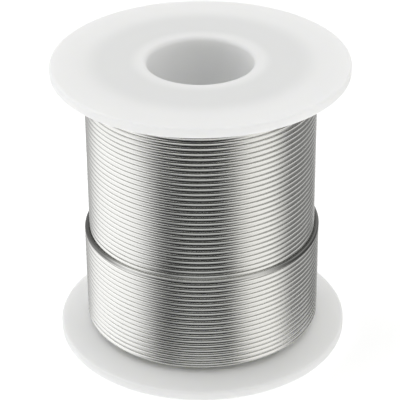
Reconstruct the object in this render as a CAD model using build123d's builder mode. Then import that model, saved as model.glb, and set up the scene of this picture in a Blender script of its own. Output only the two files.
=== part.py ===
from build123d import *
import math
import os

# A spool of solder wire. Two moulded halves snap together at mid-height, and one
# continuous flux-cored wire is wound on them. The turns lie side by side in layers, each
# layer in the grooves of the one below, and the last layer ends a third of the way up.
# Millimetres. +Z runs up the spool's axis, and the origin is the centre of the lower
# flange's outer face, which the spool stands on.

# Spool mouldings
flange_radius = 33.0
spool_height = 67.4
rim_thickness = 2.3
rim_chamfer = 0.5
flange_draft = 7.0  # degrees on the winding side, thickest at the barrel
bore_radius = 11.8
bore_mouth_chamfer = 0.8
barrel_radius = 14.1

# Snap joint between the halves
spigot_radius = 12.9
spigot_length = 8.0
spigot_lead = 0.4  # chamfer on the spigot's tip
joint_clearance = 0.05
bead_height = 0.22
bead_top_width = 0.5
bead_foot_width = 1.4
bead_level = 5.6  # above the lower half's shoulder
key_count = 3
key_width = 4.0
key_height = 3.0
key_clearance = 0.1

# Wire
wire_diameter = 1.2
flux_core_diameter = 0.4
full_layers = 11  # odd, so the last layer starts from the lower flange
last_layer_turns = 19
crossover_end = 50.0  # degrees around from +X, where a turn has stepped up to the next
free_end_sweep = 12.0  # degrees of the last turn that still follow the winding
free_end_straight = 6.0  # the cut end stands off it, straight

# Start hole through the barrel, where the wire's first end is hooked in
start_hole_radius = 0.8
start_hole_angle = 270.0
start_tail_inset = 0.3  # the tail stops this far short of the bore

# Worked out from the above
mid_height = spool_height / 2
wire_radius = wire_diameter / 2
layer_step = wire_diameter * math.sqrt(3) / 2
tip_height = mid_height + spigot_length


def flange_thickness(radius):
    """Thickness of a flange, which its draft makes greatest at the barrel."""
    return rim_thickness + (flange_radius - radius) * math.tan(math.radians(flange_draft))


def layer_radius(number):
    """Radius of the wire's centreline in a layer, counted from 1 at the barrel."""
    return barrel_radius + wire_radius + (number - 1) * layer_step


def layer_turns(number):
    """The most turns that fit between the flanges, even in odd layers and odd in even.

    The layers are centred, so this puts each one's turns in the grooves of the one below.
    """
    traverse = spool_height - 2 * flange_thickness(layer_radius(number) - wire_radius)
    most = int(traverse / wire_diameter)
    return most if (most - number) % 2 else most - 1


def layer_bottom(number):
    return mid_height - layer_turns(number) * wire_radius


def layer_length(number, turns):
    return turns * 2 * math.pi * layer_radius(number)


def draw_half(level, barrel_end):
    """Section lines of one half. level() turns a height above its outer face into Z."""
    Polyline(
        (bore_radius, level(0)),
        (flange_radius, level(0)),
        (flange_radius, level(rim_thickness)),
        (barrel_radius, level(flange_thickness(barrel_radius))),
        *barrel_end,
        (bore_radius, level(0)),
    )


def draw_bead(wall_radius, clearance):
    """Section lines of the snap bead, larger by the clearance where it is a groove."""
    level = mid_height + bead_level
    foot = bead_foot_width / 2 + clearance
    top = bead_top_width / 2 + clearance
    Polyline(
        (wall_radius, level - foot),
        (wall_radius + bead_height, level - top),
        (wall_radius + bead_height, level + top),
        (wall_radius, level + foot),
        close=True,
    )


def rings_at(part, radius, height):
    """The circular edges of a part with this radius at this height."""
    rings = part.edges().filter_by(GeomType.CIRCLE)
    return rings.filter_by(
        lambda edge: abs(edge.radius - radius) < 0.01
        and abs(edge.center(CenterOf.BOUNDING_BOX).Z - height) < 0.01
    )


def break_edges(part, level):
    """Chamfers that both halves share, on the rim and the bore's mouth."""
    chamfer(rings_at(part, flange_radius, level(0)), rim_chamfer)
    chamfer(rings_at(part, flange_radius, level(rim_thickness)), rim_chamfer)
    chamfer(rings_at(part, bore_radius, level(0)), bore_mouth_chamfer)


def save(part, name):
    part.label = name
    export_step(part, f"parts/{name}.step")


os.makedirs("parts", exist_ok=True)


# Lower half: flange, barrel up to the shoulder, and the spigot with its snap bead
def lower_level(height):
    return height


with BuildPart() as lower_half:
    with BuildSketch(Plane.XZ):
        with BuildLine():
            lower_end = [
                (barrel_radius, mid_height),
                (spigot_radius, mid_height),
                (spigot_radius, tip_height),
                (bore_radius, tip_height),
            ]
            draw_half(lower_level, lower_end)
        make_face()
    revolve(axis=Axis.Z)
    break_edges(lower_half, lower_level)
    chamfer(rings_at(lower_half, spigot_radius, tip_height), spigot_lead)
    with BuildSketch(Plane.XZ):
        with BuildLine():
            draw_bead(spigot_radius, 0)
        make_face()
    revolve(axis=Axis.Z)
    # Three keys stand on the shoulder and stop the halves turning on each other
    with BuildSketch(Plane.XY.offset(mid_height)):
        with PolarLocations((spigot_radius + barrel_radius) / 2, key_count):
            Rectangle(2 * (barrel_radius - spigot_radius), key_width)
        Circle(barrel_radius, mode=Mode.INTERSECT)
        Circle(spigot_radius, mode=Mode.SUBTRACT)
    extrude(amount=key_height)
save(lower_half.part, "lower_spool_half")


# Upper half: flange, barrel bored out below for the spigot, and the start hole level with
# the first turn, which starts from the upper flange
def upper_level(height):
    return spool_height - height


socket_radius = spigot_radius + joint_clearance
socket_floor = tip_height + key_clearance

start_height = mid_height + layer_turns(1) * wire_radius - wire_radius
start_angle = math.radians(start_hole_angle)
outwards = Vector(math.cos(start_angle), math.sin(start_angle), 0)
start_plane = Plane(origin=(0, 0, start_height), z_dir=outwards)

with BuildPart() as upper_half:
    with BuildSketch(Plane.XZ):
        with BuildLine():
            upper_end = [
                (barrel_radius, mid_height),
                (socket_radius, mid_height),
                (socket_radius, socket_floor),
                (bore_radius, socket_floor),
            ]
            draw_half(upper_level, upper_end)
        make_face()
    revolve(axis=Axis.Z)
    break_edges(upper_half, upper_level)
    with BuildSketch(Plane.XZ):
        with BuildLine():
            draw_bead(socket_radius, joint_clearance)
        make_face()
    revolve(axis=Axis.Z, mode=Mode.SUBTRACT)
    # Notches for the lower half's keys
    with BuildSketch(Plane.XY.offset(mid_height)):
        with PolarLocations((spigot_radius + barrel_radius) / 2, key_count):
            Rectangle(2 * (barrel_radius - spigot_radius), key_width + 2 * key_clearance)
        Circle(spigot_radius, mode=Mode.SUBTRACT)
    extrude(amount=key_height + key_clearance, mode=Mode.SUBTRACT)
    with BuildSketch(start_plane):
        Circle(start_hole_radius)
    extrude(amount=barrel_radius + wire_radius, mode=Mode.SUBTRACT)
save(upper_half.part, "upper_spool_half")

# Winding
last_layer = full_layers + 1
last_bottom = layer_bottom(full_layers) + wire_radius
last_top = last_bottom + last_layer_turns * wire_diameter
last_radius = layer_radius(last_layer)
wire_length = sum(
    layer_length(number, layer_turns(number)) for number in range(1, full_layers + 1)
)
wire_length += layer_length(last_layer, last_layer_turns)

# Inner layers, which nothing shows of: each pass of the winder lays one layer on the way
# down and one on the way back up
for number in range(1, full_layers, 2):
    turns = min(layer_turns(number), layer_turns(number + 1))
    with BuildPart() as one_pass:
        with BuildSketch(Plane.XY.offset(mid_height - turns * wire_radius)):
            Circle(layer_radius(number + 1) + layer_step / 2)
            Circle(layer_radius(number) - layer_step / 2, mode=Mode.SUBTRACT)
        extrude(amount=turns * wire_diameter)
    save(one_pass.part, f"winding_pass_{(number + 1) // 2}")

# Outermost full layer, which shows its turns' full radius above the last layer
with BuildPart() as full_layer:
    with BuildSketch(Plane.XY.offset(layer_bottom(full_layers))):
        Circle(last_radius - wire_radius)
        Circle(layer_radius(full_layers) - layer_step / 2, mode=Mode.SUBTRACT)
    extrude(amount=layer_turns(full_layers) * wire_diameter)
    with BuildSketch(Plane.XY.offset(last_top + wire_diameter)):
        Circle(layer_radius(full_layers) + wire_radius)
        Circle(layer_radius(full_layers) - layer_step / 2, mode=Mode.SUBTRACT)
    extrude(amount=spool_height - layer_bottom(full_layers) - last_top - wire_diameter)
save(full_layer.part, "winding_full_layer")

with BuildPart() as top_layer:
    with BuildSketch(Plane.XY.offset(last_bottom)):
        Circle(last_radius + wire_radius)
        Circle(last_radius - wire_radius, mode=Mode.SUBTRACT)
    extrude(amount=last_top - last_bottom)
save(top_layer.part, "winding_last_layer")

# Free end: the last part-turn lies on top of its layer, and the cut end stands off it
with BuildLine(Plane.XY.offset(last_top + wire_radius)) as last_turn:
    lying = CenterArc((0, 0), last_radius, crossover_end, free_end_sweep)
    cut_end = Line(lying @ 1, lying @ 1 + (lying % 1) * free_end_straight)
wire_length += lying.length + cut_end.length

with BuildPart() as free_end:
    with BuildSketch(Plane(last_turn.line ^ 0)):
        Circle(wire_radius)
    sweep(path=last_turn.line)
    with BuildSketch(Plane(cut_end ^ 1)):
        Circle(flux_core_diameter / 2)
    extrude(amount=-free_end_straight, mode=Mode.SUBTRACT)
save(free_end.part, "wire_free_end")

with BuildPart() as flux_core:
    with BuildSketch(Plane(cut_end ^ 1)):
        Circle(flux_core_diameter / 2)
    extrude(amount=-free_end_straight)
save(flux_core.part, "flux_core")

# Start of the wire, hooked in the start hole and up against the first layer
tail_from = bore_radius + start_tail_inset
tail_to = math.sqrt(barrel_radius**2 - wire_radius**2)  # meets the round winding all over

with BuildPart() as start_tail:
    with BuildSketch(start_plane.offset(tail_from)):
        Circle(wire_radius)
    extrude(amount=tail_to - tail_from)
save(start_tail.part, "wire_start_tail")
wire_length += tail_to - tail_from

print("turns per layer", [layer_turns(number) for number in range(1, full_layers + 1)])
print("last layer from", round(last_bottom, 2), "to", round(last_top, 2))
print("wire length in metres", round(wire_length / 1000, 2))
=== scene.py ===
import math
import random

import bmesh
import bpy
from mathutils import Matrix, Vector


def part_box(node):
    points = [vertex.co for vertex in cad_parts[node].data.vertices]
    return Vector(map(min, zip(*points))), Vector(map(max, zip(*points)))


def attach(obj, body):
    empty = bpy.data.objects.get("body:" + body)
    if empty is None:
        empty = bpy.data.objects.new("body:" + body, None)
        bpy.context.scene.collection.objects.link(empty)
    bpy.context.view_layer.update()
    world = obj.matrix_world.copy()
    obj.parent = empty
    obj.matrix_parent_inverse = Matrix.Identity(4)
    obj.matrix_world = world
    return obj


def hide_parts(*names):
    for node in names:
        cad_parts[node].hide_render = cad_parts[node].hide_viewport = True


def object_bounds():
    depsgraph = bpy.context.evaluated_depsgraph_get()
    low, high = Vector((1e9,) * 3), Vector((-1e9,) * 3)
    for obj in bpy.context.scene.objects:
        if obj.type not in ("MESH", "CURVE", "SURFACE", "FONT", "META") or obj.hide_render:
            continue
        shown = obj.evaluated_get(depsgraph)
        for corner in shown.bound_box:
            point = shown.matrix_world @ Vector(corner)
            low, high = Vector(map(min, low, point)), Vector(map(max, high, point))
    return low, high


# A spool of solder wire: two snapped-together halves of milky moulded plastic, and one
# continuous wire wound on them in layers. The two outer layers, which are all that shows,
# are one cord that follows the winder's path turn by turn down the full layer and back up
# the short one. Metres, in the CAD frame. The main sizes come from the CAD nodes' boxes.

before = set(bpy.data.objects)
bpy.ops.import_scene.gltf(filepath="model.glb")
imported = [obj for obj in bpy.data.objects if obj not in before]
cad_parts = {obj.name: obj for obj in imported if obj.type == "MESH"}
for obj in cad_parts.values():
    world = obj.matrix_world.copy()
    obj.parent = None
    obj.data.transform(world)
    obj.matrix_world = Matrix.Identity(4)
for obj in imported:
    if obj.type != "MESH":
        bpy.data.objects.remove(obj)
cad_low, cad_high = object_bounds()

MM = 0.001

# Spool
flange_radius = cad_high.x
spool_height = cad_high.z
mid_height = spool_height / 2
rim_thickness = 2.3 * MM
rim_rounding = 0.5 * MM
flange_draft = 7  # degrees on the winding side
flange_slope = math.tan(math.radians(flange_draft))
bore_radius = 11.8 * MM
mouth_rounding = 1.0 * MM
barrel_radius = 14.1 * MM
root_rounding = 0.4 * MM

# Snap joint
spigot_radius = 12.9 * MM
spigot_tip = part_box("lower_spool_half")[1].z
spigot_lead = 0.4 * MM
joint_clearance = 0.05 * MM
bead_height = 0.22 * MM
bead_top_width = 0.5 * MM
bead_foot_width = 1.4 * MM
bead_centre = mid_height + 5.6 * MM
key_count = 3
key_width = 4 * MM
key_height = 3 * MM
key_clearance = 0.1 * MM

# Winding, from the boxes of the layers that stand for it in the CAD
wire_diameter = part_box("wire_start_tail")[1].x * 2
wire_radius = wire_diameter / 2
layer_step = wire_diameter * math.sqrt(3) / 2
full_low, full_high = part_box("winding_full_layer")
last_low, last_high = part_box("winding_last_layer")
full_turns = round((full_high.z - full_low.z) / wire_diameter)
last_turns = round((last_high.z - last_low.z) / wire_diameter)
full_radius = full_high.x - wire_radius
last_radius = last_high.x - wire_radius
top_turn = full_high.z - wire_radius
bottom_turn = full_low.z + wire_radius
crossover_end = math.radians(50)
free_end_sweep = math.radians(12)
free_end_straight = 6 * MM
flux_stands_out = 0.08 * MM

# Start hole in the barrel, on the -Y side, around the wire's first end
tail_low, tail_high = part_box("wire_start_tail")
start_hole_height = (tail_low.z + tail_high.z) / 2
start_hole_radius = 0.8 * MM


def smooth(t):
    t = min(1, max(0, t))
    return t * t * (3 - 2 * t)


def add_object(name, data):
    added = bpy.data.objects.new(name, data)
    bpy.context.scene.collection.objects.link(added)
    return added


# ---------------------------------------------------------------- node helpers


def new_material(name):
    material = bpy.data.materials.new(name)
    material.use_nodes = True
    nodes = material.node_tree.nodes
    shader = nodes["Principled BSDF"]
    return material, nodes, material.node_tree.links, shader


def math_node(nodes, links, operation, first, second=None, third=None):
    node = nodes.new("ShaderNodeMath")
    node.operation = operation
    for socket, value in zip(node.inputs, (first, second, third)):
        if value is None:
            continue
        if isinstance(value, (int, float)):
            socket.default_value = value
        else:
            links.new(value, socket)
    return node.outputs[0]


def map_range(nodes, links, value, low, high, to_low=0.0, to_high=1.0):
    node = nodes.new("ShaderNodeMapRange")
    node.interpolation_type = "SMOOTHSTEP"
    links.new(value, node.inputs["Value"])
    node.inputs["From Min"].default_value = low
    node.inputs["From Max"].default_value = high
    node.inputs["To Min"].default_value = to_low
    node.inputs["To Max"].default_value = to_high
    return node.outputs["Result"]


def noise(nodes, links, vector, scale, detail):
    node = nodes.new("ShaderNodeTexNoise")
    node.inputs["Scale"].default_value = scale
    node.inputs["Detail"].default_value = detail
    links.new(vector, node.inputs["Vector"])
    return node.outputs["Fac"]


def noise_between(nodes, links, value, low, high):
    """A noise, which mostly lies between 0.3 and 0.7, spread out between two values."""
    return map_range(nodes, links, value, 0.3, 0.7, low, high)


def colour_mix(nodes, links, factor, first, second):
    """A mix of two colours, each a node's output or plain red, green and blue."""
    node = nodes.new("ShaderNodeMix")
    node.data_type = "RGBA"
    links.new(factor, node.inputs["Factor"])
    for socket, colour in ((node.inputs["A"], first), (node.inputs["B"], second)):
        if isinstance(colour, tuple):
            socket.default_value = (*colour, 1)
        else:
            links.new(colour, socket)
    return node.outputs["Result"]


def bump(nodes, links, height, strength, distance):
    node = nodes.new("ShaderNodeBump")
    node.inputs["Strength"].default_value = strength
    node.inputs["Distance"].default_value = distance
    links.new(height, node.inputs["Height"])
    return node.outputs["Normal"]


def place_on_object(nodes, links):
    """The place on the object: as a vector, as x, y and z, and its radius from the axis."""
    place = nodes.new("ShaderNodeTexCoord").outputs["Object"]
    split = nodes.new("ShaderNodeSeparateXYZ")
    links.new(place, split.inputs[0])
    x, y, z = split.outputs
    y_squared = math_node(nodes, links, "MULTIPLY", y, y)
    squares = math_node(nodes, links, "MULTIPLY_ADD", x, x, y_squared)
    return place, (x, y, z), math_node(nodes, links, "SQRT", squares)


# ---------------------------------------------------------------- materials


def plastic_material():
    """Natural, unpigmented moulded plastic: milky, lets light some millimetres in."""
    material, nodes, links, shader = new_material("natural_plastic")
    place, _, radius = place_on_object(nodes, links)
    flow = noise(nodes, links, place, scale=90, detail=3)
    grain = noise(nodes, links, place, scale=2600, detail=2)
    colour = colour_mix(nodes, links, flow, (0.965, 0.97, 0.965), (0.975, 0.98, 0.975))
    # It lets some light through. Here the colour is darkened where wire lies behind it, as
    # painted shade in place of that light.
    past_barrel = map_range(
        nodes, links, radius, barrel_radius - 1.5 * MM, barrel_radius + 2.0 * MM)
    over_wire = map_range(
        nodes, links, radius, full_high.x - 4.5 * MM, full_high.x + 2.5 * MM, to_low=1, to_high=0)
    darker = 0.12
    backed = math_node(nodes, links, "MULTIPLY", past_barrel, over_wire)
    painted_shade_amount = math_node(nodes, links, "MULTIPLY", backed, darker)
    colour = colour_mix(nodes, links, painted_shade_amount, colour, (0.0, 0.0, 0.0))
    links.new(colour, shader.inputs["Base Color"])
    links.new(noise_between(nodes, links, flow, 0.36, 0.44), shader.inputs["Roughness"])
    links.new(bump(nodes, links, grain, 0.12, 0.03 * MM), shader.inputs["Normal"])
    shader.inputs["Subsurface Weight"].default_value = 1.0
    shader.inputs["Subsurface Radius"].default_value = (1.0, 1.0, 0.95)
    shader.inputs["Subsurface Scale"].default_value = 2 * MM
    shader.inputs["IOR"].default_value = 1.49
    shader.inputs["Specular IOR Level"].default_value = 0.45
    return material


def groove_painted_shade(nodes, links, radius, on_short_layer):
    """Painted shade in the grooves between turns: the wire's colour darkens with depth below its
    layer's crest.
    """
    crest = math_node(
        nodes, links, "MULTIPLY_ADD", on_short_layer, last_high.x - full_high.x, full_high.x)
    depth = math_node(nodes, links, "SUBTRACT", crest, radius)
    return map_range(nodes, links, depth, 0.20 * MM, 0.42 * MM, to_low=0, to_high=0.18)


def darker_last_turn(nodes, links, x, z, on_short_layer):
    """Darker colour on the short layer's last turn, least in the middle and most at the sides."""
    brightest_x = -2 * MM
    from_brightest = math_node(nodes, links, "SUBTRACT", x, brightest_x)
    aside = math_node(nodes, links, "ABSOLUTE", from_brightest)
    amount = map_range(
        nodes, links, aside, 13.5 * MM, 20.5 * MM, to_low=0.30, to_high=0.93)
    last_turn = map_range(nodes, links, z, last_high.z - 0.70 * wire_diameter,
                          last_high.z - 0.40 * wire_diameter)
    last_turn = math_node(nodes, links, "MULTIPLY", last_turn, on_short_layer)
    return math_node(nodes, links, "MULTIPLY", last_turn, amount)


def wire_material():
    """Drawn tin alloy: bright, with a faint grain drawn out along the wire, and duller
    patches."""
    material, nodes, links, shader = new_material("solder_wire")
    place, (x, y, z), radius = place_on_object(nodes, links)
    per_metre = 60  # across the wire, to one per radian along it, which makes the grain long
    around = nodes.new("ShaderNodeCombineXYZ")
    links.new(math_node(nodes, links, "MULTIPLY", radius, per_metre), around.inputs["X"])
    links.new(math_node(nodes, links, "MULTIPLY", z, per_metre), around.inputs["Y"])
    links.new(math_node(nodes, links, "ARCTAN2", y, x), around.inputs["Z"])
    grain = noise(nodes, links, around.outputs[0], scale=160, detail=3)
    dull = noise(nodes, links, place, scale=240, detail=3)
    clean = colour_mix(nodes, links, dull, (0.74, 0.74, 0.72), (0.82, 0.82, 0.80))
    on_short_layer = math_node(nodes, links, "GREATER_THAN", radius, full_high.x + 0.02 * MM)
    # Painted shade in the grooves, and the darker last turn of the short layer, both pull the
    # wire's colour towards dark grey
    groove_shade_and_dark_turn = math_node(
        nodes, links, "MAXIMUM", groove_painted_shade(nodes, links, radius, on_short_layer),
        darker_last_turn(nodes, links, x, z, on_short_layer))
    colour = colour_mix(nodes, links, groove_shade_and_dark_turn, clean, (0.12, 0.12, 0.115))
    links.new(colour, shader.inputs["Base Color"])
    links.new(noise_between(nodes, links, dull, 0.15, 0.22), shader.inputs["Roughness"])
    links.new(bump(nodes, links, grain, 0.03, 0.01 * MM), shader.inputs["Normal"])
    shader.inputs["Metallic"].default_value = 1.0
    return material


def flux_material():
    """Rosin in the wire's core: clear amber, a little crazed."""
    material, nodes, links, shader = new_material("flux")
    place = nodes.new("ShaderNodeTexCoord").outputs["Object"]
    grain = noise(nodes, links, place, scale=9000, detail=3)
    colour = colour_mix(nodes, links, grain, (0.42, 0.20, 0.05), (0.70, 0.42, 0.14))
    links.new(colour, shader.inputs["Base Color"])
    links.new(noise_between(nodes, links, grain, 0.12, 0.4), shader.inputs["Roughness"])
    return material


def floor_material():
    """White sweep, lit a little from within so that it stays paler than the spool."""
    material, nodes, links, shader = new_material("floor")
    place = nodes.new("ShaderNodeTexCoord").outputs["Object"]
    fibre = noise(nodes, links, place, scale=900, detail=3)
    colour = colour_mix(nodes, links, fibre, (0.93, 0.93, 0.93), (0.95, 0.95, 0.95))
    links.new(colour, shader.inputs["Base Color"])
    shader.inputs["Roughness"].default_value = 0.9
    shader.inputs["Specular IOR Level"].default_value = 0.0
    shader.inputs["Emission Color"].default_value = (1, 1, 1, 1)
    shader.inputs["Emission Strength"].default_value = 0.36
    return material


plastic = plastic_material()
metal = wire_material()
rosin = flux_material()


# ---------------------------------------------------------------- camera and light

camera_distance = 12.514 * flange_radius
camera_elevation = math.radians(29.30)
camera_roll = math.radians(-0.47)


def make_camera():
    data = bpy.data.cameras.new("camera")
    data.lens = 163.6
    data.sensor_width = 36.0
    data.shift_x = -0.0039
    data.shift_y = -0.0137
    camera = add_object("camera", data)
    bpy.context.scene.camera = camera
    back = Vector((0, -math.cos(camera_elevation), math.sin(camera_elevation)))
    place = Matrix.Translation(Vector((0, 0, mid_height)) + back * camera_distance)
    aim = (-back).to_track_quat("-Z", "Y").to_matrix().to_4x4()
    camera.matrix_world = place @ aim @ Matrix.Rotation(camera_roll, 4, "Z")


# The studio is a world that is nearly dark apart from softboxes, which are bright patches
# with soft edges. Angles are in degrees. Azimuth 0 is the camera's side and + is right.
dark_level = 0.02
most_fade_above = 20  # a softbox fades upwards over this at most, on each side of its edge
white = (1.0, 1.0, 1.0)
softboxes = (
    # azimuth, half width, side fade, low, high, fade below, strength, tint
    (-95, 40, 20, -99, 99, 20, 1.17, white),  # tall window on the left
    (60, 22, 15, -80, 99, 15, 1.00, (1.0, 0.99, 0.965)),  # narrower lamp on the right
    (118, 42, 26, 20, 80, 28, 0.60, (1.0, 1.0, 0.99)),  # its spill further round
    (118, 46, 28, -99, 20, 20, 0.18, (1.0, 1.0, 0.99)),  # and low down
    (180, 34, 16, -99, 30, 16, 0.64, white),  # backdrop
    (180, 80, 18, 35, 99, 18, 0.74, white),  # panel over the back
    (0, 34, 24, 26, 86, 46, 0.80, (0.98, 1.0, 0.99)),  # ceiling in front
)


def softbox(nodes, links, direction, azimuth, half_width, side_fade, low, high, fade,
            strength, tint):
    """The light of one softbox in a direction, which is an azimuth and an elevation."""
    turn, height = direction
    aside = math_node(nodes, links, "SUBTRACT", turn, math.radians(azimuth))
    aside = math_node(nodes, links, "WRAP", aside, math.pi, -math.pi)
    aside = math_node(nodes, links, "ABSOLUTE", aside)
    across = map_range(nodes, links, aside, math.radians(half_width - side_fade),
                       math.radians(half_width + side_fade), to_low=1, to_high=0)
    above = map_range(nodes, links, height, math.radians(low - fade), math.radians(low + fade))
    fade = min(fade, most_fade_above)
    below = map_range(nodes, links, height, math.radians(high - fade),
                      math.radians(high + fade), to_low=1, to_high=0)
    patch = math_node(nodes, links, "MULTIPLY", across, above)
    patch = math_node(nodes, links, "MULTIPLY", patch, below)
    light = nodes.new("ShaderNodeVectorMath")
    light.operation = "SCALE"
    light.inputs[0].default_value = [strength * part for part in tint]
    links.new(patch, light.inputs["Scale"])
    return light.outputs[0]


def studio_light():
    world = bpy.data.worlds.new("studio")
    bpy.context.scene.world = world
    world.use_nodes = True
    nodes, links = world.node_tree.nodes, world.node_tree.links
    ray = nodes.new("ShaderNodeTexCoord").outputs["Generated"]
    split = nodes.new("ShaderNodeSeparateXYZ")
    links.new(ray, split.inputs[0])
    x, y, z = split.outputs
    turn = math_node(nodes, links, "ARCTAN2", x, math_node(nodes, links, "MULTIPLY", y, -1))
    height = math_node(nodes, links, "ARCSINE", z)
    dark = nodes.new("ShaderNodeCombineXYZ")
    for channel in dark.inputs:
        channel.default_value = dark_level
    total = dark.outputs[0]
    for settings in softboxes:
        added = nodes.new("ShaderNodeVectorMath")
        added.operation = "ADD"
        links.new(total, added.inputs[0])
        links.new(softbox(nodes, links, (turn, height), *settings), added.inputs[1])
        total = added.outputs[0]
    links.new(total, nodes["Background"].inputs["Color"])


def make_floor():
    half = 6.0  # wide enough that its edge is out of sight from low down
    corners = [(-half, -half, 0), (half, -half, 0), (half, half, 0), (-half, half, 0)]
    mesh = bpy.data.meshes.new("floor")
    mesh.from_pydata(corners, [], [(0, 1, 2, 3)])
    mesh.materials.append(floor_material())
    floor = add_object("floor", mesh)
    floor.visible_glossy = False


make_camera()
studio_light()
bpy.context.scene.view_settings.view_transform = "Standard"
make_floor()


# ---------------------------------------------------------------- winding

points_per_turn = 24
spline_pull = 0.9915  # an order-3 spline runs this far inside points on a circle
wander_along = 0.012 * MM
wander_out = 0.008 * MM
wander_waves = 7
wander_rates = (0.05, 0.45)  # slowest and fastest, in waves per turn
riser_starts = -2  # in points from +X: the wire starts to come up from the layer below,
riser_ends = 4  # and lies in the full layer
climb_share = 0.25  # of a crossover, at each end, in which a turn leaves its groove


def wander(dice):
    """A slow, small, repeatable wobble: a few sine waves along the wire."""
    waves = [(dice.uniform(*wander_rates), dice.uniform(0, 2 * math.pi))
             for _ in range(wander_waves)]
    return lambda turn: sum(
        math.sin(2 * math.pi * rate * turn + start) for rate, start in waves) / 3


def lift(share):
    """How far out of its groove a turn of the short layer lies, along its crossover."""
    out_of_groove = smooth(share / climb_share)
    back_in = smooth((share - (1 - climb_share)) / climb_share)
    return (wire_diameter - layer_step) * out_of_groove * (1 - back_in)


def winding_points():
    """The wire's path through the two outer layers. Each turn lies level except in the
    crossover, where it steps along by one wire."""
    dice = random.Random(7)
    along, out = wander(dice), wander(dice)
    points = []

    def add(angle, radius, height):
        turn = angle / (2 * math.pi)
        height += wander_along * along(turn)
        radius = (radius + wander_out * out(turn)) / spline_pull
        points.append((radius * math.cos(angle), radius * math.sin(angle), height))

    step = 2 * math.pi / points_per_turn
    # Up out of the layer below, against the upper flange, as the first turn moves aside
    for i in range(riser_starts, riser_ends):
        angle = i * step
        stepped = smooth(angle / crossover_end)
        radius = full_radius - wire_diameter * math.sqrt(1 - stepped**2)
        add(angle, radius, top_turn)
    # Down the full layer
    count = full_turns * points_per_turn
    for i in range(riser_ends, count + 1):
        angle = i * step
        turn = int(angle / (2 * math.pi))
        stepped = smooth((angle - 2 * math.pi * turn) / crossover_end) if turn else 1
        add(angle, full_radius, top_turn - wire_diameter * (turn - 1 + stepped))
    # Out over the turn below, which steps down meanwhile, and up the short layer
    for i in range(count + 1, count + last_turns * points_per_turn + 1):
        angle = i * step
        turn = int(angle / (2 * math.pi)) - full_turns
        share = (angle - 2 * math.pi * (turn + full_turns)) / crossover_end
        stepped = smooth(share)
        if turn == 0:
            height = bottom_turn + wire_radius * stepped
            turn_below = bottom_turn + wire_diameter * (1 - stepped)
            radius = full_radius + math.sqrt(wire_diameter**2 - (height - turn_below) ** 2)
        else:
            radius = last_radius + lift(share)
            height = bottom_turn + wire_radius + wire_diameter * (turn - 1 + stepped)
        add(angle, radius, height)
    # The last part-turn, and the cut end standing off it
    start = (full_turns + last_turns) * 2 * math.pi
    height = bottom_turn + wire_radius + wire_diameter * (last_turns - 1)
    for share in (0.2, 0.4, 0.6, 0.8):
        add(start + crossover_end * share, last_radius + lift(share),
            height + wire_diameter * smooth(share))
    height += wire_diameter
    for share in (0.0, 0.5):
        add(start + crossover_end + free_end_sweep * share, last_radius, height)
    end_angle = crossover_end + free_end_sweep
    off = Vector((last_radius * math.cos(end_angle), last_radius * math.sin(end_angle), height))
    ahead = Vector((-math.sin(end_angle), math.cos(end_angle), 0))
    straight = free_end_straight - flux_stands_out
    points.extend(tuple(off + ahead * straight * share) for share in (0, 0.33, 0.66, 1))
    return points


def make_winding():
    points = winding_points()
    curve = bpy.data.curves.new("solder_wire", "CURVE")
    curve.dimensions = "3D"
    curve.bevel_depth = wire_radius
    curve.bevel_resolution = 5
    curve.resolution_u = 4
    curve.use_fill_caps = True
    curve.twist_mode = "Z_UP"
    spline = curve.splines.new("NURBS")
    spline.points.add(len(points) - 1)
    for at, point in zip(spline.points, points):
        at.co = (*point, 1)
    spline.order_u = 3
    spline.use_endpoint_u = True
    spline.use_smooth = True
    curve.materials.append(metal)
    wire = add_object("solder_wire", curve)
    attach(wire, "root")
    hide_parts("winding_full_layer", "winding_last_layer", "wire_free_end")
    length = 2 * math.pi * (full_turns * full_radius + last_turns * last_radius)
    length += (crossover_end + free_end_sweep) * last_radius + free_end_straight


make_winding()


# ---------------------------------------------------------------- spool halves

lathe_steps = 240
face_steps = 14
mouth_steps = 10
rim_steps = 12
root_steps = 6
key_arc_steps = 4
hole_segments = 40
drafted_corner = 0.94  # from a drafted face to its rounding's centre, in roundings
sharp_angle = math.radians(32)
tool_overlap = 0.2 * MM  # how far a key or notch runs past the faces that it meets
hole_overlap = 1 * MM  # how far the start hole's tool reaches into the bore


def arc(centre, radius, start, end, steps):
    """Points on an arc of the section, in (radius, height), angles in degrees."""
    points = []
    for i in range(steps + 1):
        angle = math.radians(start + (end - start) * i / steps)
        points.append((centre[0] + radius * math.cos(angle),
                       centre[1] + radius * math.sin(angle)))
    return points


def stations(first, last, count):
    """Points between two, without the ends."""
    return [(first[0] + (last[0] - first[0]) * i / count,
             first[1] + (last[1] - first[1]) * i / count) for i in range(1, count)]


def half_section(barrel_end):
    """Section of one half in (radius, height over its outer face), from bore to bore."""
    mouth = (bore_radius + mouth_rounding, mouth_rounding)
    rim = flange_radius - rim_rounding
    outer_edge = (rim, rim_rounding)
    inner_edge = (rim, rim_thickness - rim_rounding * drafted_corner)
    root_radius = barrel_radius + root_rounding
    root_height = rim_thickness + (flange_radius - barrel_radius) * flange_slope
    root_start = (root_radius, root_height - root_rounding * flange_slope)
    root = (root_radius, root_height + root_rounding * drafted_corner)
    section = arc(mouth, mouth_rounding, 180, 270, mouth_steps)
    section += stations(section[-1], (rim, 0), face_steps)
    section += arc(outer_edge, rim_rounding, 270, 360, rim_steps)
    section += arc(inner_edge, rim_rounding, 0, 90 - flange_draft, rim_steps)
    section += stations(section[-1], root_start, face_steps)
    section += arc(root, root_rounding, 270 - flange_draft, 180, root_steps)
    return section + barrel_end


def solid(name, work):
    """An object from a bmesh, which is freed."""
    mesh = bpy.data.meshes.new(name)
    bmesh.ops.recalc_face_normals(work, faces=work.faces)
    work.to_mesh(mesh)
    work.free()
    return add_object(name, mesh)


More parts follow.
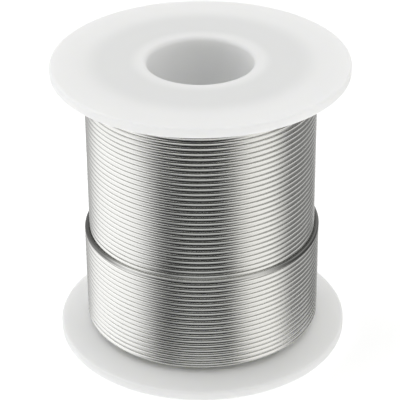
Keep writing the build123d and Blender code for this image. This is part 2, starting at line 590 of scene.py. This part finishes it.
def lathe(name, section, level):
    """A closed mesh of revolution. level() turns a height over the outer face into Z."""
    work = bmesh.new()
    rings = []
    for i in range(lathe_steps):
        angle = 2 * math.pi * i / lathe_steps
        rings.append([
            work.verts.new((radius * math.cos(angle), radius * math.sin(angle), level(height)))
            for radius, height in section])
    for i, ring in enumerate(rings):
        after = rings[(i + 1) % lathe_steps]
        for j in range(len(section)):
            k = (j + 1) % len(section)
            work.faces.new((ring[j], after[j], after[k], ring[k]))
    return solid(name, work)


def key_block(number, width, low, high, inside, outside):
    """One key, or the room for it: a block between two arcs around the spool's axis."""
    middle = 2 * math.pi * number / key_count
    outline = []
    for radius, first, last in ((inside, -1, 1), (outside, 1, -1)):
        reach = math.asin(width / 2 / radius)
        for i in range(key_arc_steps + 1):
            angle = middle + reach * (first + (last - first) * i / key_arc_steps)
            outline.append((radius * math.cos(angle), radius * math.sin(angle)))
    work = bmesh.new()
    bottom = work.faces.new([work.verts.new((*point, low)) for point in outline])
    raised = bmesh.ops.extrude_face_region(work, geom=[bottom])["geom"]
    top = [item for item in raised if isinstance(item, bmesh.types.BMVert)]
    bmesh.ops.translate(work, verts=top, vec=(0, 0, high - low))
    return solid("key", work)


def start_hole():
    """A round rod along -Y, through the barrel's wall."""
    inside = bore_radius - hole_overlap
    outside = barrel_radius + wire_radius
    place = Matrix.Translation((0, -(inside + outside) / 2, start_hole_height))
    work = bmesh.new()
    bmesh.ops.create_cone(
        work, cap_ends=True, segments=hole_segments, radius1=start_hole_radius,
        radius2=start_hole_radius, depth=outside - inside,
        matrix=place @ Matrix.Rotation(math.pi / 2, 4, "X"))
    return solid("rod", work)


def combine(piece, tools, operation):
    """Join solids to a piece, or cut them from it, and drop the tools."""
    for tool in tools:
        step = piece.modifiers.new("step", "BOOLEAN")
        step.operation = operation
        step.solver = "EXACT"
        step.object = tool
        bpy.context.view_layer.update()
        graph = bpy.context.evaluated_depsgraph_get()
        result = bpy.data.meshes.new_from_object(piece.evaluated_get(graph))
        piece.modifiers.clear()
        piece.data = result
        bpy.data.objects.remove(tool)


def finish_plastic(piece, node):
    piece.data.shade_smooth()
    piece.data.set_sharp_from_angle(angle=sharp_angle)
    piece.data.materials.clear()
    piece.data.materials.append(plastic)
    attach(piece, "root")
    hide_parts(node)


def bead_section(wall, clearance):
    """The snap bead on a wall of this radius, or with clearance the groove for it."""
    foot = bead_foot_width / 2 + clearance
    top = bead_top_width / 2 + clearance
    return [
        (wall, bead_centre - foot),
        (wall + bead_height, bead_centre - top),
        (wall + bead_height, bead_centre + top),
        (wall, bead_centre + foot),
    ]


def make_lower_half():
    end = [
        (barrel_radius, mid_height),
        (spigot_radius, mid_height),
        *bead_section(spigot_radius, 0),
        (spigot_radius, spigot_tip - spigot_lead),
        (spigot_radius - spigot_lead, spigot_tip),
        (bore_radius, spigot_tip),
    ]
    piece = lathe("spool_half_lower", half_section(end), lambda height: height)
    keys = [
        key_block(number, key_width, mid_height - tool_overlap, mid_height + key_height,
                  spigot_radius - tool_overlap, barrel_radius)
        for number in range(key_count)]
    combine(piece, keys, "UNION")
    finish_plastic(piece, "lower_spool_half")


def make_upper_half():
    socket_radius = spigot_radius + joint_clearance
    socket_floor = spigot_tip + key_clearance
    end = [
        (barrel_radius, mid_height),
        (socket_radius, mid_height),
        *bead_section(socket_radius, joint_clearance),
        (socket_radius, socket_floor),
        (bore_radius, socket_floor),
    ]
    end = [(radius, spool_height - height) for radius, height in end]
    piece = lathe("spool_half_upper", half_section(end), lambda height: spool_height - height)
    notches = [
        key_block(number, key_width + 2 * key_clearance, mid_height - tool_overlap,
                  mid_height + key_height + key_clearance, spigot_radius,
                  barrel_radius + tool_overlap)
        for number in range(key_count)]
    combine(piece, [*notches, start_hole()], "DIFFERENCE")
    finish_plastic(piece, "upper_spool_half")


make_lower_half()
make_upper_half()


# ---------------------------------------------------------------- CAD nodes that still show

for name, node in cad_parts.items():
    if node.hide_render:
        continue
    is_flux = name == "flux_core"
    node.data.materials.clear()
    node.data.materials.append(rosin if is_flux else metal)
